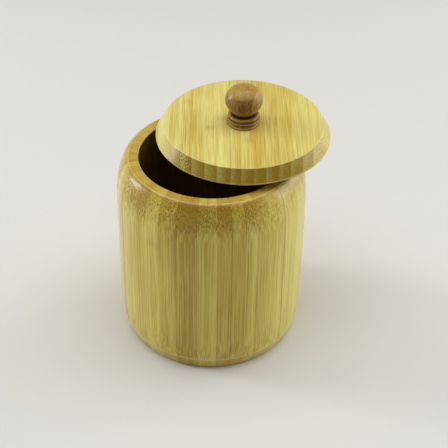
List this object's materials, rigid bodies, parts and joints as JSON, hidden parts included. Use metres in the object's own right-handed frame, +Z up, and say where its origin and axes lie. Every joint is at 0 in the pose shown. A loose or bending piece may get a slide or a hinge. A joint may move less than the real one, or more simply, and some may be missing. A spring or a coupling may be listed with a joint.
{
  "type": "candy jar",
  "caption": "Round turned bamboo jar with a rounded shoulder and an open mouth; its bevelled lid with a ball knob lies ajar on the rim.",
  "frame": {"origin": "centre of the flat underside, on the axis of the jar", "axes": "+Z up along the jar's axis, +X to the right and -Y to the front of the pictured view"},
  "size_m": [0.112, 0.1076, 0.1425],
  "materials": {
    "stave_bamboo": "pale bamboo staves under clear satin lacquer",
    "floor_bamboo": "pale bamboo board under clear satin lacquer",
    "lid_bamboo": "pale bamboo strips under clear satin lacquer",
    "knob_bamboo": "steamed brown bamboo under clear satin lacquer",
    "screw_steel": "bright zinc"
  },
  "bodies": {
    "root": {"jar_body": "stave_bamboo", "floor_disc": "floor_bamboo", "lid": "lid_bamboo", "knob": "knob_bamboo", "knob_screw": "screw_steel"}
  },
  "joints": []
}
